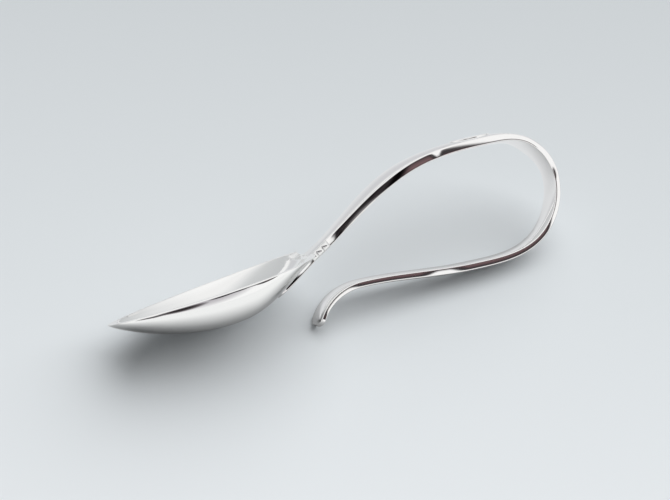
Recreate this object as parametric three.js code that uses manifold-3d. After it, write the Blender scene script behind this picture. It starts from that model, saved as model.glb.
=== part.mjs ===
// Loop-handled baby spoon in polished metal: a deep bowl with a solid heel, a strip handle whose tongue laps
// under that heel, a beaded collar let into the neck and a plain flat plaque near the top of the loop.
// Millimetres, +Z up. The spoon lies as it comes to rest: on the bowl's side, the hook's end and the loop.
import * as THREE from 'three';
import { mergeVertices } from 'three/addons/utils/BufferGeometryUtils.js';
import Module from 'manifold-3d';

// The bowl, measured from its tip along the rim
const BOWL_LENGTH = 44.6;
const BOWL_WIDTH = 30;
const BOWL_DEPTH = 7.8;
const BOWL_WALL = 1.8;
const RIM_LAND = 0.9;
const CAVITY_TO_SHOULDER = 1.2;
const RIM_SLOPE = 6;
const RIM_SAG = 0.2;
const SHOULDER_LIFT = 0.95;
const LIFT_POWER = 6;
// Where the outline is widest and the keel deepest, as fractions of the length, and how full they are
const OUTLINE_PEAK = 0.637;
const OUTLINE_FULLNESS = 0.38;
const KEEL_PEAK = 0.56;
const KEEL_FULLNESS = 0.66;
// How square the bowl's cross-section is: 2 and 2 would make it half an ellipse
const SECTION_POWER = 2.5;
const SECTION_ROUNDING = 2;
// Where the section starts to turn towards the pointed one of the heel, and how round that one's keel is
const HEEL_START = 0.6;
const HEEL_POWER = 1.3;

// The handle's strip: its width and the height of its edges at named places
const TONGUE_WIDTH = 4;
const TONGUE_EDGE = 1.5;
const NECK_WIDTH = 4.5;
const NECK_EDGE = 1.55;
const ARM_WIDTH = 8.6;
const ARM_EDGE = 1.7;
const TOP_WIDTH = 8.2;
const TOP_EDGE = 1.6;
const UPPER_BEND_WIDTH = 8;
const LOOP_WIDTH = 5.6;
const LOOP_EDGE = 1.2;
const BASE_WIDTH = 6;
const BASE_EDGE = 1.4;
const HOOK_WIDTH = 5.4;
const HOOK_EDGE = 0.95;
const OUTER_CROWN = 0.35;
const INNER_CROWN = 0.4;
const END_ROUND = 1.5;

// Where the middle of the strip passes those places, measured from the neck
const NECK_PAST_SHOULDER = 1.8;
const NECK_BELOW_RIM = 0.75;
const ARM_REACH = 23.1;
const ARM_RISE = 12.9;
const TOP_REACH = 41.3;
const TOP_RISE = 14.9;
const UPPER_BEND_REACH = 51.4;
const UPPER_BEND_RISE = 12.5;
const LOOP_REACH = 56.3;
const LOOP_RISE = 3.6;
const LOWER_BEND_REACH = 51.3;
const LOWER_BEND_DROP = 6.7;
const BASE_REACH = 32.6;
const BASE_DROP = 10.4;
const CREST_REACH = 7.6;
const CREST_DROP = 8.6;
const HOOK_BACK = 2.4;
const HOOK_DROP = 13.8;
const NECK_HEADING = 29.5;

// The tongue's lap, the collar and the plaque
const TONGUE_LAP = 5.4;
const TONGUE_PROUD = 0.4;
const COLLAR_LENGTH = 4.8;
const COLLAR_WALL = 0.3;
const COLLAR_BEADS = 3;
const BEAD_HEIGHT = 0.3;
const PLAQUE_LENGTH = 9;
const PLAQUE_WIDTH = 4.6;
const PLAQUE_RISE = 0.25;
const PLAQUE_BEFORE_TOP = 2.2;

// The gap that every soldered seat keeps
const SEAT_GAP = 0.3;

// How finely the surfaces are stepped
const BOWL_STATIONS = 34;
const BOWL_ARC_STEPS = 20;
const STRIP_STEP = 2;
const END_STEPS = 5;
const CROWN_STEPS = 4;
const BEAD_STEPS = 8;
const OVAL_STEPS = 16;
const SETTLE_STEPS = 12;
const TINY = 0.001;

const wasm = await Module();
wasm.setup();
const { clamp, degToRad, lerp, smoothstep } = THREE.MathUtils;

function solidOf(geometry) {
  return new wasm.Manifold(new wasm.Mesh({
    numProp: 3,
    vertProperties: new Float32Array(geometry.getAttribute('position').array),
    triVerts: new Uint32Array(geometry.getIndex().array),
  }));
}

function geometryOf(solid) {
  const mesh = solid.getMesh();
  const geometry = new THREE.BufferGeometry();
  geometry.setAttribute('position', new THREE.BufferAttribute(Float32Array.from(mesh.vertProperties), 3));
  geometry.setIndex(new THREE.BufferAttribute(Uint32Array.from(mesh.triVerts), 1));
  return geometry;
}

// Skins a row of closed rings, all with the same number of points, and caps both ends.
// Each ring runs anticlockwise when it is seen from the next one.
function loft(rings) {
  const count = rings[0].length;
  const index = [];
  for (let ring = 0; ring + 1 < rings.length; ring += 1) {
    for (let k = 0; k < count; k += 1) {
      const a = ring * count + k;
      const b = ring * count + (k + 1) % count;
      index.push(a, b, b + count, a, b + count, a + count);
    }
  }
  const last = (rings.length - 1) * count;
  for (let k = 1; k + 1 < count; k += 1) {
    index.push(0, k + 1, k);
    index.push(last, last + k, last + k + 1);
  }
  const geometry = new THREE.BufferGeometry().setFromPoints(rings.flat());
  geometry.setIndex(index);
  return solidOf(geometry);
}

// A swell from 0 at both ends to 1 at the peak: an egg when it is used as a half-width
function swell(fraction, peak, fullness) {
  const skew = Math.log(0.5) / Math.log(peak);
  return Math.sin(Math.PI * fraction ** skew) ** fullness;
}

// The rim slopes up from the tip, sags a little in the middle and lifts towards the shoulder
function rimHeight(x) {
  const fraction = clamp(x / BOWL_LENGTH, 0, 1);
  const sag = RIM_SAG * Math.sin(Math.PI * fraction);
  return x * Math.tan(degToRad(RIM_SLOPE)) - sag + SHOULDER_LIFT * fraction ** LIFT_POWER;
}

function keelHeight(x) {
  return rimHeight(x) - BOWL_DEPTH * swell(x / BOWL_LENGTH, KEEL_PEAK, KEEL_FULLNESS);
}

// A bowl-shaped body between two ends: an egg in plan, round below, and flat on top or carried up past the rim
function bowlBody({ start, end, halfWidth, depth, raise }) {
  const rings = [];
  for (let i = 0; i <= BOWL_STATIONS; i += 1) {
    const eased = (1 - Math.cos(Math.PI * i / BOWL_STATIONS)) / 2;
    const fraction = clamp(eased, TINY, 1 - TINY);
    const x = lerp(start, end, fraction);
    const half = halfWidth * swell(fraction, OUTLINE_PEAK, OUTLINE_FULLNESS);
    const deep = depth * swell(fraction, KEEL_PEAK, KEEL_FULLNESS);
    const rim = rimHeight(x);
    const ring = [];
    for (let k = 0; k <= BOWL_ARC_STEPS; k += 1) {
      const across = -Math.cos(Math.PI * k / BOWL_ARC_STEPS);
      const squarish = (1 - Math.abs(across) ** SECTION_POWER) ** (1 / SECTION_ROUNDING);
      const pointed = 1 - Math.abs(across) ** HEEL_POWER;
      const drop = deep * lerp(squarish, pointed, smoothstep(fraction, HEEL_START, 1));
      ring.push(new THREE.Vector3(x, half * across, rim - drop));
    }
    if (raise > 0) {
      ring.push(new THREE.Vector3(x, half, rim + raise));
      ring.push(new THREE.Vector3(x, -half, rim + raise));
    }
    rings.push(ring);
  }
  return loft(rings);
}

// The neck is where the strip has left the bowl's shoulder, which it passes a little below the rim.
const neckAngle = degToRad(NECK_HEADING);
const neckX = BOWL_LENGTH + NECK_PAST_SHOULDER;
const shoulderZ = rimHeight(BOWL_LENGTH) - NECK_BELOW_RIM - NECK_EDGE / 2 / Math.cos(neckAngle);
const neckZ = shoulderZ + NECK_PAST_SHOULDER * Math.tan(neckAngle);

// The tongue's end lies under the heel and stands proud of the bowl's back.
const tongueX = BOWL_LENGTH - TONGUE_LAP;
const tongueBack = keelHeight(tongueX) - SEAT_GAP - TONGUE_PROUD;
const tongueZ = tongueBack + (TONGUE_EDGE / 2 + INNER_CROWN) / Math.cos(neckAngle);

// The strip's places in order, each with its heading in degrees above the spoon's length
const places = {
  tongue: {
    x: tongueX - neckX, z: tongueZ - neckZ, heading: NECK_HEADING, width: TONGUE_WIDTH, edge: TONGUE_EDGE,
  },
  neck: { x: 0, z: 0, heading: NECK_HEADING, width: NECK_WIDTH, edge: NECK_EDGE },
  arm: { x: ARM_REACH, z: ARM_RISE, heading: 17, width: ARM_WIDTH, edge: ARM_EDGE },
  top: { x: TOP_REACH, z: TOP_RISE, heading: 0, width: TOP_WIDTH, edge: TOP_EDGE },
  upperBend: {
    x: UPPER_BEND_REACH, z: UPPER_BEND_RISE, heading: -38, width: UPPER_BEND_WIDTH, edge: LOOP_EDGE,
  },
  loopEnd: { x: LOOP_REACH, z: LOOP_RISE, heading: -91, width: LOOP_WIDTH, edge: LOOP_EDGE },
  lowerBend: { x: LOWER_BEND_REACH, z: -LOWER_BEND_DROP, heading: -140, width: LOOP_WIDTH, edge: LOOP_EDGE },
  base: { x: BASE_REACH, z: -BASE_DROP, heading: -181, width: BASE_WIDTH, edge: BASE_EDGE },
  crest: { x: CREST_REACH, z: -CREST_DROP, heading: -180, width: BASE_WIDTH, edge: LOOP_EDGE },
  hook: { x: -HOOK_BACK, z: -HOOK_DROP, heading: -121, width: HOOK_WIDTH, edge: HOOK_EDGE },
};

// A cubic curve between two places that bends as evenly as a circle would
function spanBetween(from, to) {
  const start = new THREE.Vector2(neckX + from.x, neckZ + from.z);
  const end = new THREE.Vector2(neckX + to.x, neckZ + to.z);
  const a = degToRad(from.heading);
  const b = degToRad(to.heading);
  const pull = start.distanceTo(end) / (3 * Math.cos((b - a) / 4) ** 2);
  const leave = new THREE.Vector2(Math.cos(a), Math.sin(a)).multiplyScalar(pull).add(start);
  const arrive = new THREE.Vector2(Math.cos(b), Math.sin(b)).multiplyScalar(-pull).add(end);
  return new THREE.CubicBezierCurve(start, leave, arrive, end);
}

// One cross-section of the strip: flat edges, with a low crown on the outer and the inner face
function stripSection(width, edge, spare) {
  const half = width / 2 + spare;
  const section = [];
  for (const side of [-1, 1]) {
    const crown = side < 0 ? INNER_CROWN : OUTER_CROWN;
    for (let k = 0; k <= CROWN_STEPS; k += 1) {
      const across = -side * (2 * k / CROWN_STEPS - 1);
      const rise = edge / 2 + spare + crown * (1 - across * across);
      section.push([half * across, side * rise]);
    }
  }
  return section;
}

function ringAt(point, angle, section) {
  const up = new THREE.Vector3(-Math.sin(angle), 0, Math.cos(angle));
  const middle = new THREE.Vector3(point.x, 0, point.y);
  return section.map(([side, rise]) => new THREE.Vector3(0, side, 0).addScaledVector(up, rise).add(middle));
}

// The rounded end of the strip, as sections that narrow past its first or last place
function roundedEnd(at, outward) {
  const sections = [];
  for (let k = 1; k <= END_STEPS; k += 1) {
    const turn = Math.PI / 2 * k / (END_STEPS + 1 / END_STEPS);
    const point = at.point.clone().addScaledVector(at.tangent, outward * END_ROUND * Math.sin(turn));
    sections.push({ ...at, point, width: at.width * Math.cos(turn) });
  }
  return sections;
}

// The whole strip from the tongue to the hook; spare makes it larger all round
function stripBody(spare) {
  const route = Object.values(places);
  const path = [];
  for (let i = 0; i + 1 < route.length; i += 1) {
    const span = spanBetween(route[i], route[i + 1]);
    const steps = Math.ceil(span.getLength() / STRIP_STEP);
    for (let k = i === 0 ? 0 : 1; k <= steps; k += 1) {
      const ease = smoothstep(k / steps, 0, 1);
      path.push({
        point: span.getPointAt(k / steps),
        tangent: span.getTangentAt(k / steps),
        width: lerp(route[i].width, route[i + 1].width, ease),
        edge: lerp(route[i].edge, route[i + 1].edge, ease),
      });
    }
  }
  const all = [...roundedEnd(path[0], -1).reverse(), ...path, ...roundedEnd(path[path.length - 1], 1)];
  return loft(all.map(({ point, tangent, width, edge }) => (
    ringAt(point, Math.atan2(tangent.y, tangent.x), stripSection(width, edge, spare)))));
}

// A straight length of a section, reaching equally far to both sides of the neck
function neckBody(length, sectionAt, steps) {
  const along = new THREE.Vector2(Math.cos(neckAngle), Math.sin(neckAngle));
  const rings = [];
  for (let k = 0; k <= steps; k += 1) {
    const point = new THREE.Vector2(neckX, neckZ).addScaledVector(along, length * (k / steps - 0.5));
    rings.push(ringAt(point, neckAngle, sectionAt(k / steps)));
  }
  return loft(rings);
}

// The bowl: its outer body less the cavity, which stops short of the shoulder and leaves the heel solid
const cavity = bowlBody({
  start: RIM_LAND,
  end: BOWL_LENGTH - CAVITY_TO_SHOULDER,
  halfWidth: BOWL_WIDTH / 2 - RIM_LAND,
  depth: BOWL_DEPTH - BOWL_WALL,
  raise: BOWL_DEPTH,
});
const bowl = bowlBody({
  start: 0, end: BOWL_LENGTH, halfWidth: BOWL_WIDTH / 2, depth: BOWL_DEPTH, raise: 0,
}).subtract(cavity);

// The room that the bowl needs where the strip and the collar meet it
const bowlRoom = bowlBody({
  start: -SEAT_GAP,
  end: BOWL_LENGTH + SEAT_GAP,
  halfWidth: BOWL_WIDTH / 2 + SEAT_GAP,
  depth: BOWL_DEPTH + SEAT_GAP,
  raise: BOWL_DEPTH,
});

// The handle: the strip, cut to seat the bowl and waisted at the neck to take the collar
const neckSection = (spare) => () => stripSection(NECK_WIDTH, NECK_EDGE, spare);
const waist = neckBody(COLLAR_LENGTH + 4 * SEAT_GAP, neckSection(-COLLAR_WALL - SEAT_GAP), 1);
const groove = neckBody(COLLAR_LENGTH + 2 * SEAT_GAP, neckSection(NECK_EDGE), 1).subtract(waist);
const handle = stripBody(0).subtract(groove).subtract(bowlRoom);

// The collar: a band level with the strip, with a row of rounded beads along each edge of the neck
const beadAt = (along) => BEAD_HEIGHT * Math.abs(Math.sin(Math.PI * COLLAR_BEADS * along));
const beadedSection = (along) => stripSection(NECK_WIDTH + 2 * beadAt(along), NECK_EDGE, 0);
const collar = neckBody(COLLAR_LENGTH, beadedSection, COLLAR_BEADS * BEAD_STEPS)
  .subtract(neckBody(2 * COLLAR_LENGTH, neckSection(-COLLAR_WALL), 1))
  .subtract(bowlRoom);

// The plaque: an oval plate, flat on top, hollowed below to the strip's crown
const seatSpan = spanBetween(places.arm, places.top);
const seatAlong = 1 - PLAQUE_BEFORE_TOP / seatSpan.getLength();
const seat = seatSpan.getPointAt(seatAlong);
const seatTangent = seatSpan.getTangentAt(seatAlong);
const oval = new THREE.Shape();
oval.absellipse(0, 0, PLAQUE_LENGTH / 2, PLAQUE_WIDTH / 2, 0, 2 * Math.PI);
const plate = new THREE.ExtrudeGeometry(oval, {
  depth: TOP_EDGE / 2 + OUTER_CROWN + SEAT_GAP + PLAQUE_RISE,
  bevelEnabled: false,
  curveSegments: OVAL_STEPS,
});
plate.rotateY(-Math.atan2(seatTangent.y, seatTangent.x));
plate.translate(seat.x, 0, seat.y);
plate.deleteAttribute('normal');
plate.deleteAttribute('uv');
const plaque = solidOf(mergeVertices(plate)).subtract(stripBody(SEAT_GAP));

const spoon = new THREE.Group();
for (const [name, solid, color, roughness] of [
  ['bowl', bowl, '#cfd0d2', 0.07],
  ['handle_loop', handle, '#cacbce', 0.08],
  ['neck_collar', collar, '#c4c4c6', 0.12],
  ['handle_plaque', plaque, '#d2d3d5', 0.06],
]) {
  const finish = new THREE.MeshStandardMaterial({ color, roughness, metalness: 1 });
  const mesh = new THREE.Mesh(geometryOf(solid), finish);
  mesh.name = name;
  spoon.add(mesh);
}

// The spoon rests on three places: the bowl's side, the hook's end and the loop's far edge.
function pointsOf(name, wanted) {
  const position = spoon.getObjectByName(name).geometry.getAttribute('position');
  const points = [];
  for (let i = 0; i < position.count; i += 1) {
    points.push(new THREE.Vector3().fromBufferAttribute(position, i));
  }
  return points.filter(wanted);
}
const crestX = neckX + places.crest.x;
const crestZ = neckZ + places.crest.z;
const restingPlaces = [
  pointsOf('bowl', () => true),
  pointsOf('handle_loop', ({ x, z }) => x < crestX && z < crestZ),
  pointsOf('handle_loop', ({ x }) => x > crestX),
];

// The upward direction of a floor under the spoon, when it leans to one side and pitches along its length
function floorUp(lean, pitch) {
  return new THREE.Vector3(Math.sin(pitch), -Math.sin(lean) * Math.cos(pitch), Math.cos(lean) * Math.cos(pitch));
}

// How far the bowl and the loop stay above the hook's height over such a floor
function unevenness(lean, pitch) {
  const up = floorUp(lean, pitch);
  const [side, hook, loop] = restingPlaces.map((points) => Math.min(...points.map((point) => point.dot(up))));
  return [side - hook, loop - hook];
}

// Leans and pitches the spoon, by Newton's method, until all three places are level
function restingUp() {
  const nudge = 1e-4;
  let lean = Math.PI / 4;
  let pitch = 0;
  for (let i = 0; i < SETTLE_STEPS; i += 1) {
    const [side, loop] = unevenness(lean, pitch);
    const leaned = unevenness(lean + nudge, pitch);
    const pitched = unevenness(lean, pitch + nudge);
    const [a, b] = [(leaned[0] - side) / nudge, (pitched[0] - side) / nudge];
    const [c, d] = [(leaned[1] - loop) / nudge, (pitched[1] - loop) / nudge];
    lean -= (d * side - b * loop) / (a * d - b * c);
    pitch -= (a * loop - c * side) / (a * d - b * c);
  }
  return floorUp(lean, pitch);
}

const up = restingUp();
const forward = new THREE.Vector3(1, 0, 0).projectOnPlane(up).normalize();
const aside = new THREE.Vector3().crossVectors(up, forward);
spoon.quaternion.setFromRotationMatrix(new THREE.Matrix4().makeBasis(forward, aside, up).transpose());

// The origin is on the table, under the middle of the spoon.
const part = new THREE.Group();
part.add(spoon);
const box = new THREE.Box3().setFromObject(part, true);
spoon.position.set(-(box.min.x + box.max.x) / 2, -(box.min.y + box.max.y) / 2, -box.min.z);

export default part;
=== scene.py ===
import math

import bmesh
import bpy
from mathutils import Matrix, Vector


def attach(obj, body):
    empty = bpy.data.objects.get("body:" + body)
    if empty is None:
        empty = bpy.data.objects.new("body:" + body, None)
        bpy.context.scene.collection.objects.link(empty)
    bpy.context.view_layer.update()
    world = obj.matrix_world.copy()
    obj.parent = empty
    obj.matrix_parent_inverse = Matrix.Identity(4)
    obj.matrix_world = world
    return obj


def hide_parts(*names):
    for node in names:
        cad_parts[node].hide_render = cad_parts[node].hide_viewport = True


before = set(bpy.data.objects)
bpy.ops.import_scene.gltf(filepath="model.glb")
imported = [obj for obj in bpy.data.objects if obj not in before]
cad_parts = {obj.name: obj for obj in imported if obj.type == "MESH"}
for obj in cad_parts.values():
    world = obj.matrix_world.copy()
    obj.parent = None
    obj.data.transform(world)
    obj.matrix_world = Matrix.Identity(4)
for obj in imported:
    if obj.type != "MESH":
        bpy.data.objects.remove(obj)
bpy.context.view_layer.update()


# The bowl
# Pressed from thick stainless steel: an egg in plan, deep and steep-sided, with a narrow flat rim whose edges
# are rounded by polishing. Behind its hollow the heel stays solid, and the handle is soldered under it.

# Lengths are in millimetres along the spoon's own axes: x from the bowl's tip, y across, z up from the rim
BOWL_LENGTH = 44.6
BOWL_WIDTH = 30
BOWL_DEPTH = 7.8
BOWL_WALL = 1.8
RIM_LAND = 0.9
RIM_SLOPE = math.radians(6)
RIM_SAG = 0.2
HEEL_WEB = 1.2

# The rim lifts steeply at its shoulders. The near one loses most of that lift, growing from the middle of the
# bowl out to a distance from it, and below the rim the loss soon fades.
SHOULDER_LIFT = 0.95
LIFT_POWER = 6
NEAR_SHOULDER = 8
NEAR_DROP = 0.9
NEAR_POWER = 3

# The plan and the keel: where each is fullest, as a share of the length, and how blunt its ends are
OUTLINE_PEAK = 0.637
OUTLINE_FULLNESS = 0.38
KEEL_PEAK = 0.56
KEEL_FULLNESS = 0.66

# The cross-section is squarish, and turns pointed towards the heel
SECTION_POWER = 2.5
SECTION_ROUNDING = 2
HEEL_START = 0.6
HEEL_POWER = 1.3

# The throat, where the heel is ground down to the plane of the neck's outer face
THROAT_DROP = 0.7
THROAT_HALF = 3.6
THROAT_FLARE = 0.3
THROAT_LENGTH = 1.2
THROAT_RISE = 0.5
THROAT_SOFT = 0.12
NECK_HEADING = 29.5

# The fineness of the mesh, the share of the flat rim that each rounding may take, and the reach of a weld
RING_POINTS = 240
WALL_RINGS = 34
EDGE_RINGS = 5
EDGE_SHARE = 0.45
WELD = 0.001

# How the spoon lies at rest: the lean to one side, the pitch along its length and the place of the bowl's tip
REST_LEAN = math.radians(41.38)
REST_PITCH = math.radians(-3.12)
REST_TIP = Vector((-51.94, -2.98, 11.17))

rest_up = Vector((
    math.sin(REST_PITCH),
    -math.sin(REST_LEAN) * math.cos(REST_PITCH),
    math.cos(REST_LEAN) * math.cos(REST_PITCH),
))
rest_forward = (Vector((1, 0, 0)) - rest_up * rest_up.x).normalized()
rest_turn = Matrix((rest_forward, rest_up.cross(rest_forward), rest_up)).to_4x4()
resting = Matrix.Scale(0.001, 4) @ Matrix.Translation(REST_TIP) @ rest_turn
neck_angle = math.radians(NECK_HEADING)


def clamped(share):
    return min(max(share, 0), 1)


def eased(share):
    """A share from 0 to 1 that leaves the one and reaches the other gently."""
    share = clamped(share)
    return share * share * (3 - 2 * share)


def swell(share, peak, fullness):
    """A swell from 0 at both ends to 1 at its peak: an egg when it is used as a half-width."""
    skew = math.log(0.5) / math.log(peak)
    return math.sin(math.pi * share ** skew) ** fullness


def rim_height(x, y=0):
    """The height of the rim's plane: it sags a little, and lifts at the shoulders, less at the near one."""
    share = clamped(x / BOWL_LENGTH)
    lift = SHOULDER_LIFT * share ** LIFT_POWER * (1 - NEAR_DROP * eased(-y / NEAR_SHOULDER))
    return x * math.tan(RIM_SLOPE) - RIM_SAG * math.sin(math.pi * share) + lift


def shell_height(shell, x, y):
    """The height of a bowl-shaped surface over a point of its plan."""
    share = clamped((x - shell["start"]) / (shell["end"] - shell["start"]))
    half = shell["half"] * swell(share, OUTLINE_PEAK, OUTLINE_FULLNESS)
    deep = shell["depth"] * swell(share, KEEL_PEAK, KEEL_FULLNESS)
    across = clamped(abs(y) / max(half, WELD))
    squarish = (1 - across ** SECTION_POWER) ** (1 / SECTION_ROUNDING)
    pointed = 1 - across ** HEEL_POWER
    section = squarish + (pointed - squarish) * eased((share - HEEL_START) / (1 - HEEL_START))
    return rim_height(x, y * across ** NEAR_POWER) - deep * section


def shell_point(shell, turn, out):
    """The point of that surface in one direction from its deepest place, from 0 there to 1 at its edge."""
    edge = (1 - math.cos(turn)) / 2
    side = 1 if math.sin(turn) > 0 else -1
    share = KEEL_PEAK + out * (edge - KEEL_PEAK)
    x = shell["start"] + share * (shell["end"] - shell["start"])
    y = out * side * shell["half"] * swell(edge, OUTLINE_PEAK, OUTLINE_FULLNESS)
    return Vector((x, y, rim_height(x, y) if out == 1 else shell_height(shell, x, y)))


def rounded(start, corner, end, share):
    """A point of the smooth bend that leads from one point to another round a corner."""
    return start * (1 - share) ** 2 + corner * 2 * share * (1 - share) + end * share ** 2


def sweep(rings):
    """Extrudes a closed loop of points from ring to ring and welds what meets at its ends."""
    mesh = bmesh.new()
    order = mesh.verts.layers.int.new("order")
    loop = bmesh.ops.create_circle(mesh, segments=len(rings[0]), radius=1)["verts"]
    for k, vert in enumerate(loop):
        vert[order] = k
        vert.co = rings[0][k]
    edges = mesh.edges[:]
    for ring in rings[1:]:
        grown = bmesh.ops.extrude_edge_only(mesh, edges=edges)["geom"]
        edges = [part for part in grown if isinstance(part, bmesh.types.BMEdge) and part.is_boundary]
        for part in grown:
            if isinstance(part, bmesh.types.BMVert):
                part.co = ring[part[order]]
    bmesh.ops.remove_doubles(mesh, verts=mesh.verts, dist=WELD)
    bmesh.ops.recalc_face_normals(mesh, faces=mesh.faces)
    return mesh


def lay_piece(name, mesh, material, node):
    """Lays a mesh where the spoon rests and makes it the piece that stands for a solid of the frame."""
    bmesh.ops.transform(mesh, matrix=resting, verts=mesh.verts)
    for face in mesh.faces:
        face.smooth = True
    data = bpy.data.meshes.new(name)
    mesh.to_mesh(data)
    mesh.free()
    data.materials.append(material)
    piece = bpy.data.objects.new(name, data)
    bpy.context.collection.objects.link(piece)
    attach(piece, "root")
    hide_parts(node)


def linear(colour):
    """An sRGB hex colour as linear red, green, blue and alpha."""
    parts = [int(colour[k:k + 2], 16) / 255 for k in (1, 3, 5)]
    return [p / 12.92 if p <= 0.04045 else ((p + 0.055) / 1.055) ** 2.4 for p in parts] + [1]


def add_node(tree, kind, inputs=None, stops=(), **settings):
    """Adds a node with its settings, its colour stops if it is a ramp, and its inputs set or linked."""
    made = tree.nodes.new(kind)
    for name, value in settings.items():
        setattr(made, name, value)
    for k, (place, colour) in enumerate(stops):
        ramp = made.color_ramp.elements
        stop = ramp[k] if k < 2 else ramp.new(place)
        stop.position = place
        stop.color = linear(colour)
    for socket, value in (inputs or {}).items():
        if isinstance(value, bpy.types.NodeSocket):
            tree.links.new(value, made.inputs[socket])
        else:
            made.inputs[socket].default_value = value
    return made


# The polish, with its sizes in millimetres. The slow waves that a buffing wheel leaves are a few millimetres
# wide. Its haze is finer on real steel and is drawn coarse enough to show. Up to the low level the metal is
# at its clearest, and from the high one on at its dullest.
WAVE_SIZE = 7
WAVE_HEIGHT = 0.03
HAZE_SIZE = 5
HAZE_LOW = 0.3
HAZE_HIGH = 0.7
CLEAREST = 0.03


def polished_steel(name, colour, dullest):
    """Mirror-polished stainless steel: bright and neutral, with reflections that waver and haze a little."""
    material = bpy.data.materials.new(name)
    material.use_nodes = True
    tree = material.node_tree
    tree.nodes.clear()
    place = add_node(tree, "ShaderNodeTexCoord")
    haze = add_node(tree, "ShaderNodeTexNoise", {
        "Vector": place.outputs["Object"],
        "Scale": 1000 / HAZE_SIZE,
        "Detail": 4,
    })
    rough = add_node(tree, "ShaderNodeMapRange", {
        "Value": haze.outputs["Fac"],
        "From Min": HAZE_LOW,
        "From Max": HAZE_HIGH,
        "To Min": CLEAREST,
        "To Max": dullest,
    })
    wave = add_node(tree, "ShaderNodeTexNoise", {
        "Vector": place.outputs["Object"],
        "Scale": 1000 / WAVE_SIZE,
        "Detail": 1,
    })
    relief = add_node(tree, "ShaderNodeBump", {
        "Height": wave.outputs["Fac"],
        "Strength": 1,
        "Distance": WAVE_HEIGHT / 1000,
    })
    steel = add_node(tree, "ShaderNodeBsdfPrincipled", {
        "Base Color": linear(colour),
        "Metallic": 1,
        "Roughness": rough.outputs["Result"],
        "Normal": relief.outputs["Normal"],
    })
    add_node(tree, "ShaderNodeOutputMaterial", {"Surface": steel.outputs["BSDF"]})
    return material


outside = {"start": 0, "end": BOWL_LENGTH, "half": BOWL_WIDTH / 2, "depth": BOWL_DEPTH}
inside = {
    "start": RIM_LAND,
    "end": BOWL_LENGTH - HEEL_WEB,
    "half": BOWL_WIDTH / 2 - RIM_LAND,
    "depth": BOWL_DEPTH - BOWL_WALL,
}
wall = [math.sin(math.pi / 2 * k / WALL_RINGS) ** (2 / SECTION_POWER) for k in range(WALL_RINGS)]
turns = [2 * math.pi * k / RING_POINTS for k in range(RING_POINTS)]


def rim_corner(shell, other, turn, share):
    """A point of the rounding between a wall and the flat of the rim, from 0 on the wall to 1 on the flat."""
    low = shell_point(shell, turn, wall[-1])
    corner = shell_point(shell, turn, 1)
    flat = shell_point(other, turn, 1) - corner
    reach = min((corner - low).length, EDGE_SHARE * flat.length)
    return rounded(low, corner, corner + flat.normalized() * reach, share)


bowl_rings = [[shell_point(inside, turn, out) for turn in turns] for out in wall]
for k in range(1, EDGE_RINGS + 1):
    bowl_rings.append([rim_corner(inside, outside, turn, k / EDGE_RINGS) for turn in turns])
for k in range(EDGE_RINGS, 0, -1):
    bowl_rings.append([rim_corner(outside, inside, turn, k / EDGE_RINGS) for turn in turns])
bowl_rings += [[shell_point(outside, turn, out) for turn in turns] for out in reversed(wall)]

# The throat widens towards the hollow, and its sides and its end rise from its plane in soft curves
for ring in bowl_rings:
    for point in ring:
        past = point.x - BOWL_LENGTH
        beside = max(abs(point.y) - (THROAT_HALF - THROAT_FLARE * past), 0)
        before = max(-past - THROAT_LENGTH, 0)
        ground = rim_height(BOWL_LENGTH) - THROAT_DROP + past * math.tan(neck_angle)
        over = point.z - ground - THROAT_RISE * (beside ** 2 + before ** 2)
        point.z -= (over + (over ** 2 + THROAT_SOFT ** 2) ** 0.5) / 2

bowl_steel = polished_steel("mirror_steel_bowl", "#f6f6f5", 0.09)
lay_piece("pressed_bowl", sweep(bowl_rings), bowl_steel, "bowl")


# The handle
# One strip of the same steel. Its tongue is soldered under the bowl's heel, it narrows at the neck, widens
# along the upper arm, is bent round into the loop and returns under the neck to end in a small rounded hook.
NECK_PAST_BOWL = 1.8
NECK_BELOW_RIM = 0.75
NECK_WIDTH = 4.5
NECK_EDGE = 1.55
TONGUE_LAP = 7.3
TONGUE_PROUD = 0.8
TONGUE_WIDTH = 4.4
TONGUE_EDGE = 1.5
TONGUE_ROUND = 1.8
HOOK_ROUND = 1.5
SEAT_DEPTH = 0.5

# The section: the outer face's crown as a share of the width, the inner face's crown, the bulge of the edges,
# the corners' radius and the share of a half side that it may take
OUTER_CROWN = 0.04
INNER_CROWN = 0.4
EDGE_BULGE = 0.02
CORNER_ROUND = 0.18
CORNER_SHARE = 0.9

# The fineness of the mesh, and the least width of an end
STRIP_STEP = 0.5
CORNER_STEPS = 5
FACE_STEPS = 16
EDGE_STEPS = 8
END_STEPS = 14
END_WIDTH = 0.0001

neck_x = BOWL_LENGTH + NECK_PAST_BOWL
neck_z = rim_height(BOWL_LENGTH) - NECK_BELOW_RIM - NECK_EDGE / 2 / math.cos(neck_angle)
neck_z += NECK_PAST_BOWL * math.tan(neck_angle)
tongue_x = BOWL_LENGTH - TONGUE_LAP
tongue_z = shell_height(outside, tongue_x, 0) - TONGUE_PROUD
tongue_z += (TONGUE_EDGE / 2 + INNER_CROWN) / math.cos(neck_angle)

# The places that the middle of the strip passes: reach and rise from the neck, heading in degrees, width of
# the strip and height of its edges
route = [
    (tongue_x - neck_x, tongue_z - neck_z, NECK_HEADING, TONGUE_WIDTH, TONGUE_EDGE),
    (0, 0, NECK_HEADING, NECK_WIDTH, NECK_EDGE),
    (23.1, 12.9, 17, 8.6, 1.7),
    (41.3, 14.9, 0, 8.2, 1.6),
    (51.4, 12.5, -38, 8, 1.2),
    (56.3, 3.6, -91, 5.6, 1.2),
    (51.3, -6.7, -140, 5.6, 1.2),
    (32.6, -10.4, -181, 6, 1.4),
    (7.6, -8.6, -180, 6, 1.2),
    (-2.4, -13.8, -121, 5.8, 0.95),
]

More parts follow.
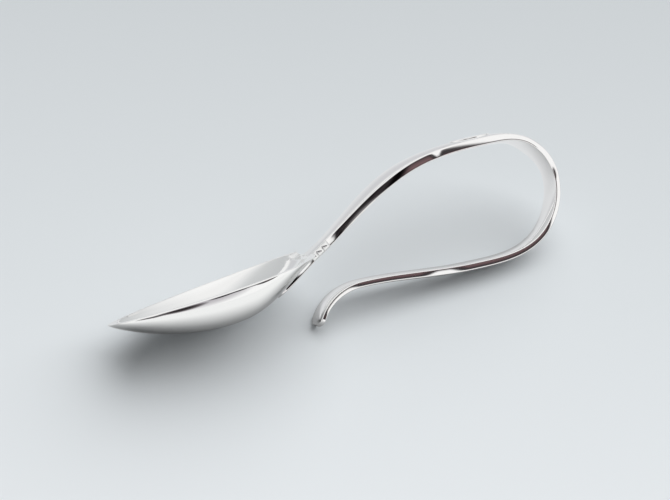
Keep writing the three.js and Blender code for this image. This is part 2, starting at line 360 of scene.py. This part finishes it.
# How far the edges lean in towards the outer face, at lengths along the strip and in degrees: it comes and
# goes, as on a strip that is finished by hand
leans = [
    (0, 0), (0.2, 1), (2.8, 5), (4.8, 9), (6.7, 9), (8.2, 5), (14.2, 9), (16.7, 2), (31.2, 2), (35.2, 0),
    (41.7, 0), (43.4, 8), (44.8, 3), (57.2, 8), (67.2, 8), (70.2, 1), (74.2, 1), (77.2, 8), (85.2, 8),
    (88.7, 2), (109.2, 2), (113.2, 8), (116.2, 8), (120.2, 2), (133.2, 2), (136.2, 8), (143.2, 8), (145.2, 0),
    (165, 0),
]


def lean_at(along):
    """The lean of the edges, in radians, at a length along the strip."""
    for (start, first), (end, last) in zip(leans, leans[1:]):
        if along <= end:
            return math.radians(first + (last - first) * (along - start) / (end - start))


def strip_section(width, edge, lean):
    """Points round a section of the strip, as across and up: crowned faces, leaning edges, round corners."""
    half = width / 2
    rise = edge / 2
    radius = min(CORNER_ROUND, CORNER_SHARE * half, CORNER_SHARE * rise)
    points = []
    for quarter, steps in enumerate((FACE_STEPS, EDGE_STEPS, FACE_STEPS, EDGE_STEPS)):
        side = 1 if quarter in (0, 3) else -1
        face = 1 if quarter in (0, 1) else -1
        middle = Vector((side * (half - radius), face * (rise - radius)))
        for k in range(CORNER_STEPS + 1):
            angle = math.pi / 2 * (quarter + k / CORNER_STEPS)
            points.append(middle + radius * Vector((math.cos(angle), math.sin(angle))))
        length = 2 * (half if steps == FACE_STEPS else rise) - 2 * radius
        angle = math.pi / 2 * (quarter + 2)
        run = Vector((math.cos(angle), math.sin(angle))) * length
        last = points[-1]
        points += [last + run * (k / steps) for k in range(1, steps)]
    shaped = []
    for across, up in points:
        crown = OUTER_CROWN * width if up > 0 else INNER_CROWN
        bulge = EDGE_BULGE * (1 - (up / rise) ** 2) - math.tan(lean) * up
        shaped.append((
            across + across / half * bulge,
            up + up / rise * crown * (1 - (across / half) ** 2),
        ))
    return shaped


def strip_ring(middle, heading, section):
    """One section set square to the strip, in the spoon's axes."""
    up = Vector((-math.sin(heading), 0, math.cos(heading)))
    return [Vector((middle.x, across, middle.y)) + up * rise for across, rise in section]


def span_curve(here, there):
    """The four points of a cubic curve between two places that bends as evenly as a circle would."""
    start = Vector((neck_x + here[0], neck_z + here[1]))
    end = Vector((neck_x + there[0], neck_z + there[1]))
    a = math.radians(here[2])
    b = math.radians(there[2])
    pull = (end - start).length / (3 * math.cos((b - a) / 4) ** 2)
    leave = start + pull * Vector((math.cos(a), math.sin(a)))
    arrive = end - pull * Vector((math.cos(b), math.sin(b)))
    return start, leave, arrive, end


def curve_at(curve, t):
    """The point and the heading of a cubic curve, with t from 0 at its start to 1 at its end."""
    a, b, c, d = curve
    point = a * (1 - t) ** 3 + b * 3 * t * (1 - t) ** 2 + c * 3 * t * t * (1 - t) + d * t ** 3
    run = (b - a) * (1 - t) ** 2 + (c - b) * 2 * t * (1 - t) + (d - c) * t * t
    return point, math.atan2(run.y, run.x)


def end_stations(station, reach):
    """The rounded end of the strip: stations that narrow to nothing past its first or last one."""
    middle, heading, width, edge, lean = station
    ahead = Vector((math.cos(heading), math.sin(heading))) * reach
    for k in range(1, END_STEPS + 1):
        turn = math.pi / 2 * k / END_STEPS
        yield middle + ahead * math.sin(turn), heading, max(width * math.cos(turn), END_WIDTH), edge, lean


stations = []
along = 0
for here, there in zip(route, route[1:]):
    curve = span_curve(here, there)
    steps = math.ceil((curve[3] - curve[0]).length / STRIP_STEP)
    for k in range(steps + (there is route[-1])):
        sizes = [a + (b - a) * eased(k / steps) for a, b in zip(here[3:], there[3:])]
        middle, heading = curve_at(curve, k / steps)
        along += (middle - stations[-1][0]).length if stations else 0
        stations.append((middle, heading, *sizes, lean_at(along)))
tongue_end = list(end_stations(stations[0], -TONGUE_ROUND))
hook_end = list(end_stations(stations[-1], HOOK_ROUND))

# The tongue is let into the bowl's back a little, where the solder holds it
strip_rings = []
for middle, heading, width, edge, lean in [*reversed(tongue_end), *stations, *hook_end]:
    ring = strip_ring(middle, heading, strip_section(width, edge, lean))
    for point in ring:
        if point.x < BOWL_LENGTH:
            point.z = min(point.z, shell_height(outside, point.x, point.y) + SEAT_DEPTH)
    strip_rings.append(ring)

strip_steel = polished_steel("mirror_steel_strip", "#f6f5f4", 0.08)
lay_piece("loop_strip", sweep(strip_rings), strip_steel, "handle_loop")


# The neck's collar
# A thin band of the same steel let into a groove round the neck and soldered there, level with the strip. A
# row of rounded beads runs along each of its edges, and the dips between them keep a little more haze.
COLLAR_LENGTH = 4.8
COLLAR_PROUD = 0.02
COLLAR_SUNK = 0.3
COLLAR_BEADS = 3
BEAD_HEIGHT = 0.45
BEAD_FULLNESS = 0.6
BEAD_FROM_MIDDLE = 1.5
BEAD_STEPS = 14


def collar_ring(along, proud, bead):
    """One section of the band, at a distance past the neck's middle."""
    middle = Vector((neck_x, neck_z)) + along * Vector((math.cos(neck_angle), math.sin(neck_angle)))
    section = []
    for across, up in strip_section(NECK_WIDTH + 2 * proud, NECK_EDGE + 2 * proud, 0):
        height = max(1 - (up / (NECK_EDGE / 2)) ** 2, 0) ** 0.5
        swollen = bead * height if abs(across) > BEAD_FROM_MIDDLE else 0
        section.append((across + math.copysign(swollen, across), up))
    return strip_ring(middle, neck_angle, section)


collar_rings = [collar_ring(-COLLAR_LENGTH / 2, -COLLAR_SUNK, 0)]
for k in range(COLLAR_BEADS * BEAD_STEPS + 1):
    share = k / (COLLAR_BEADS * BEAD_STEPS)
    bead = BEAD_HEIGHT * abs(math.sin(math.pi * COLLAR_BEADS * share)) ** BEAD_FULLNESS
    collar_rings.append(collar_ring(COLLAR_LENGTH * (share - 0.5), COLLAR_PROUD, bead))
collar_rings.append(collar_ring(COLLAR_LENGTH / 2, -COLLAR_SUNK, 0))
collar_rings.append(collar_rings[0])

bead_steel = polished_steel("mirror_steel_beads", "#f0f0ef", 0.14)
lay_piece("beaded_neck", sweep(collar_rings), bead_steel, "neck_collar")


# The plaque
# A plain oval plate of the same steel with a softened edge, bent to the strip and soldered on its outer face
# near the top of the loop.
PLAQUE_LENGTH = 9
PLAQUE_WIDTH = 4.6
PLAQUE_RISE = 0.2
PLAQUE_BEFORE_TOP = 2.2
PLAQUE_EDGE_ROUND = 0.14
PLAQUE_EDGE_STEPS = 4
PLAQUE_POINTS = 96
PLAQUE_CUTS = 25
PLAQUE_WELD = 0.01

top_width, top_edge = route[3][3:]
plaque_top = top_edge / 2 + OUTER_CROWN * top_width + PLAQUE_RISE
plate = bmesh.new()
bmesh.ops.create_circle(plate, cap_ends=True, segments=PLAQUE_POINTS, radius=0.5)
bmesh.ops.scale(plate, vec=(PLAQUE_LENGTH, PLAQUE_WIDTH, 1), verts=plate.verts)
raised = bmesh.ops.extrude_face_region(plate, geom=plate.faces[:])["geom"]
top = [part for part in raised if isinstance(part, bmesh.types.BMVert)]
bmesh.ops.translate(plate, vec=(0, 0, plaque_top), verts=top)
bmesh.ops.recalc_face_normals(plate, faces=plate.faces)
bmesh.ops.bevel(
    plate, geom=[edge for edge in plate.edges if all(vert in top for vert in edge.verts)],
    offset=PLAQUE_EDGE_ROUND, segments=PLAQUE_EDGE_STEPS, profile=0.5, affect="EDGES", material=-1)
for k in range(1, PLAQUE_CUTS):
    bmesh.ops.bisect_plane(
        plate, geom=[*plate.verts, *plate.edges, *plate.faces],
        plane_co=(PLAQUE_LENGTH * (k / PLAQUE_CUTS - 0.5), 0, 0), plane_no=(1, 0, 0))
bmesh.ops.remove_doubles(plate, verts=plate.verts, dist=PLAQUE_WELD)

# Each point is carried along the middle of the strip, which changes curve at the top of the loop
seat_spans = [span_curve(route[2], route[3]), span_curve(route[3], route[4])]
seat_lengths = [(curve[3] - curve[0]).length for curve in seat_spans]
for vert in plate.verts:
    past_top = vert.co.x - PLAQUE_BEFORE_TOP
    span = 0 if past_top < 0 else 1
    middle, heading = curve_at(seat_spans[span], past_top / seat_lengths[span] + 1 - span)
    up = Vector((-math.sin(heading), 0, math.cos(heading)))
    vert.co = Vector((middle.x, vert.co.y, middle.y)) + up * vert.co.z

plaque_steel = polished_steel("mirror_steel_plaque", "#f6f6f5", 0.07)
lay_piece("oval_plaque", plate, plaque_steel, "handle_plaque")


# The table
# A plain board painted matt in a pale blue-grey, which the spoon lies on. It pales towards the front: a
# painted shade darkens its colour towards the back. The steel mirrors it with painted shade in grey close to
# the spoon, and with painted light, near-white and glowing, farther to the front.

# Lengths are in metres in this section and the next
TABLE_SIZE = 3
SHADE_REACH = 0.25
# The board's colour as the camera sees it, darkened towards the back by painted shade along this direction
SEEN_AWAY = (0.44, 0.9, 0)
SEEN_PAINTED_SHADE = [(0.3, "#eef2f5"), (0.5, "#dde2e5"), (0.72, "#cdd2d5")]
# Steel reflections of the board: grey painted shade by the spoon, near-white painted light in front and far
# behind
MIRRORED_PAINTED_LIGHT_AND_SHADE = [
    (0.4, "#f8f9f9"), (0.465, "#c0c2c3"), (0.49, "#b0b2b4"), (0.52, "#e0e2e4"),
    (0.57, "#e4e6e8"), (0.64, "#d3d4d7"), (0.75, "#d3d4d7"), (0.9, "#fcfcfc"),
]
# A painted glowing patch in front of the spoon, no lamp, which only the steel's reflections meet
PAINTED_GLOW_START = -0.012
PAINTED_GLOW_FULL = -0.045
PAINTED_GLOW_SHARE = 0.9
PAINTED_GLOW_COLOUR = "#f8f9f9"

table_mesh = bmesh.new()
bmesh.ops.create_grid(table_mesh, x_segments=1, y_segments=1, size=TABLE_SIZE / 2)
table_data = bpy.data.meshes.new("table")
table_mesh.to_mesh(table_data)
table_mesh.free()
table = bpy.data.objects.new("table", table_data)
bpy.context.collection.objects.link(table)

# The board is matt and has no gloss. The camera sees its colour with a painted shade towards the back; the
# steel reflects another run of colours, with painted shade near the spoon and painted light farther out.
board = bpy.data.materials.new("matt_board_with_painted_shade")
board.use_nodes = True
board_tree = board.node_tree
board_tree.nodes.clear()
board_path = add_node(board_tree, "ShaderNodeLightPath")
board_place = add_node(board_tree, "ShaderNodeTexCoord")
board_axes = add_node(board_tree, "ShaderNodeSeparateXYZ", {"Vector": board_place.outputs["Object"]})
away = add_node(board_tree, "ShaderNodeVectorMath", {
    0: board_place.outputs["Object"],
    1: SEEN_AWAY,
}, operation="DOT_PRODUCT")
seen_share = add_node(board_tree, "ShaderNodeMapRange", {
    "Value": away.outputs["Value"],
    "From Min": -SHADE_REACH,
    "From Max": SHADE_REACH,
})
# Painted shade: the board's colour darkens towards the back
seen_painted_shade = add_node(board_tree, "ShaderNodeValToRGB", {"Fac": seen_share.outputs["Result"]}, SEEN_PAINTED_SHADE)
mirrored_share = add_node(board_tree, "ShaderNodeMapRange", {
    "Value": board_axes.outputs["Y"],
    "From Min": -SHADE_REACH,
    "From Max": SHADE_REACH,
})
# Painted shade and painted light, as the steel reflects the board
mirrored_painted_light_and_shade = add_node(
    board_tree, "ShaderNodeValToRGB", {"Fac": mirrored_share.outputs["Result"]}, MIRRORED_PAINTED_LIGHT_AND_SHADE)
board_colour_and_painted_shade = add_node(board_tree, "ShaderNodeMix", {
    "Factor": board_path.outputs["Is Glossy Ray"],
    "A": seen_painted_shade.outputs["Color"],
    "B": mirrored_painted_light_and_shade.outputs["Color"],
}, data_type="RGBA")
matt = add_node(board_tree, "ShaderNodeBsdfDiffuse", {"Color": board_colour_and_painted_shade.outputs["Result"]})
# Painted light: an emission that glows in front of the spoon in the steel's reflections only
painted_glow = add_node(board_tree, "ShaderNodeEmission", {"Color": linear(PAINTED_GLOW_COLOUR)})
painted_glow_mask = add_node(board_tree, "ShaderNodeMapRange", {
    "Value": board_axes.outputs["Y"],
    "From Min": PAINTED_GLOW_START,
    "From Max": PAINTED_GLOW_FULL,
    "To Max": PAINTED_GLOW_SHARE,
})
mirrored_painted_glow = add_node(board_tree, "ShaderNodeMath", {
    0: painted_glow_mask.outputs["Result"],
    1: board_path.outputs["Is Glossy Ray"],
}, operation="MULTIPLY")
board_with_painted_glow = add_node(board_tree, "ShaderNodeMixShader", {
    0: mirrored_painted_glow.outputs["Value"],
    1: matt.outputs["BSDF"],
    2: painted_glow.outputs["Emission"],
})
add_node(board_tree, "ShaderNodeOutputMaterial", {"Surface": board_with_painted_glow.outputs["Shader"]})
table_data.materials.append(board)


# The light
# A large soft lamp above, to one side and a little behind the spoon, in a white studio. The steel mirrors
# that room: pale grey behind, white in front, and a few dark things, out of focus, that stand in front.
LAMP_PLACE = Vector((1.9, 0.7, 2.8))
LAMP_SIZE = 7
LAMP_POWER = 248
ROOM_FILL = 0.13
ROOM_BEHIND = [(0, "#c6c8ca"), (0.26, "#d2d4d5"), (0.5, "#e6e7e8"), (0.85, "#f8f8f8")]
FRONT_START = 0.1
FRONT_FULL = -0.5

# Each dark thing's direction, turned from straight behind and raised from level, and its colours at angles
# from its middle, all in degrees
DARK_SPOTS = [
    (148, 31, [(14, "#ffffff"), (11, "#4a4648"), (6, "#3a3537"), (2, "#765f61")]),
    (161, 37, [(9, "#ffffff"), (6, "#3a3537")]),
    (178, 40, [(12, "#ffffff"), (8, "#4a4648"), (4, "#3a3637")]),
    (-167, 34, [(9, "#ffffff"), (6, "#3a3637")]),
    (-147, 17, [(15, "#ffffff"), (10, "#807a7c"), (5, "#3a3637")]),
    (-133, 6, [(11, "#ffffff"), (6, "#5a5658")]),
    (-162, 30, [(32, "#ffffff"), (10, "#c6c3c7")]),
]

lamp_data = bpy.data.lights.new("soft_lamp", "AREA")
lamp_data.shape = "DISK"
lamp_data.size = LAMP_SIZE
lamp_data.energy = LAMP_POWER
lamp = bpy.data.objects.new("soft_lamp", lamp_data)
lamp.location = LAMP_PLACE
lamp.rotation_euler = (-LAMP_PLACE).to_track_quat("-Z", "Y").to_euler()
lamp.visible_glossy = False
bpy.context.collection.objects.link(lamp)

world = bpy.data.worlds.new("studio")
bpy.context.scene.world = world
world.use_nodes = True
world_tree = world.node_tree
world_tree.nodes.clear()
world_path = add_node(world_tree, "ShaderNodeLightPath")
world_place = add_node(world_tree, "ShaderNodeTexCoord")
world_axes = add_node(world_tree, "ShaderNodeSeparateXYZ", {"Vector": world_place.outputs["Object"]})
behind = add_node(world_tree, "ShaderNodeValToRGB", {"Fac": world_axes.outputs["Z"]}, ROOM_BEHIND)
front = add_node(world_tree, "ShaderNodeMapRange", {
    "Value": world_axes.outputs["Y"],
    "From Min": FRONT_START,
    "From Max": FRONT_FULL,
})
room = add_node(world_tree, "ShaderNodeMix", {
    "Factor": front.outputs["Result"],
    "A": behind.outputs["Color"],
    "B": linear("#ffffff"),
}, data_type="RGBA")
for azimuth, elevation, shades in DARK_SPOTS:
    level = math.cos(math.radians(elevation))
    facing = add_node(world_tree, "ShaderNodeVectorMath", {
        0: world_place.outputs["Object"],
        1: (
            level * math.sin(math.radians(azimuth)),
            level * math.cos(math.radians(azimuth)),
            math.sin(math.radians(elevation)),
        ),
    }, operation="DOT_PRODUCT")
    spot = add_node(world_tree, "ShaderNodeValToRGB", {"Fac": facing.outputs["Value"]}, [
        (math.cos(math.radians(angle)), colour) for angle, colour in shades])
    room = add_node(world_tree, "ShaderNodeMix", {
        "Factor": 1,
        "A": room.outputs["Result"],
        "B": spot.outputs["Color"],
    }, data_type="RGBA", blend_type="MULTIPLY")
fill = add_node(world_tree, "ShaderNodeBackground", {"Color": linear("#ffffff"), "Strength": ROOM_FILL})
studio = add_node(world_tree, "ShaderNodeBackground", {"Color": room.outputs["Result"], "Strength": 1})
sky = add_node(world_tree, "ShaderNodeMixShader", {
    0: world_path.outputs["Is Glossy Ray"],
    1: fill.outputs["Background"],
    2: studio.outputs["Background"],
})
add_node(world_tree, "ShaderNodeOutputWorld", {"Surface": sky.outputs["Shader"]})
bpy.context.scene.view_settings.view_transform = "Standard"


# The camera
# It looks at the spoon from the side of its bowl's near rim, a little above the plane of the rim. Its place
# is given in millimetres and angles along the spoon's own axes, and is then laid down with the spoon.
VIEW_CENTRE = Vector((50.55, 0, 4.35))
VIEW_AZIMUTH = math.radians(21.49)
VIEW_ELEVATION = math.radians(2.32)
VIEW_ROLL = math.radians(-12.2)
VIEW_RAISE = math.radians(1.5)
VIEW_DISTANCE = 450
LENS = 117.27
SENSOR_WIDTH = 36

camera_data = bpy.data.cameras.new("camera")
camera_data.lens = LENS
camera_data.sensor_width = SENSOR_WIDTH
camera = bpy.data.objects.new("camera", camera_data)
bpy.context.collection.objects.link(camera)
aim = (
    Matrix.Rotation(-VIEW_AZIMUTH, 4, "Z")
    @ Matrix.Rotation(math.pi / 2 - VIEW_ELEVATION, 4, "X")
    @ Matrix.Rotation(VIEW_ROLL, 4, "Z")
)
tilt = Matrix.Rotation(-VIEW_RAISE, 4, "X")
stand = resting @ tilt @ Matrix.Translation(VIEW_CENTRE) @ aim @ Matrix.Translation((0, 0, VIEW_DISTANCE))
camera.location = stand.to_translation()
camera.rotation_euler = (rest_turn @ tilt @ aim).to_euler()
bpy.context.scene.camera = camera
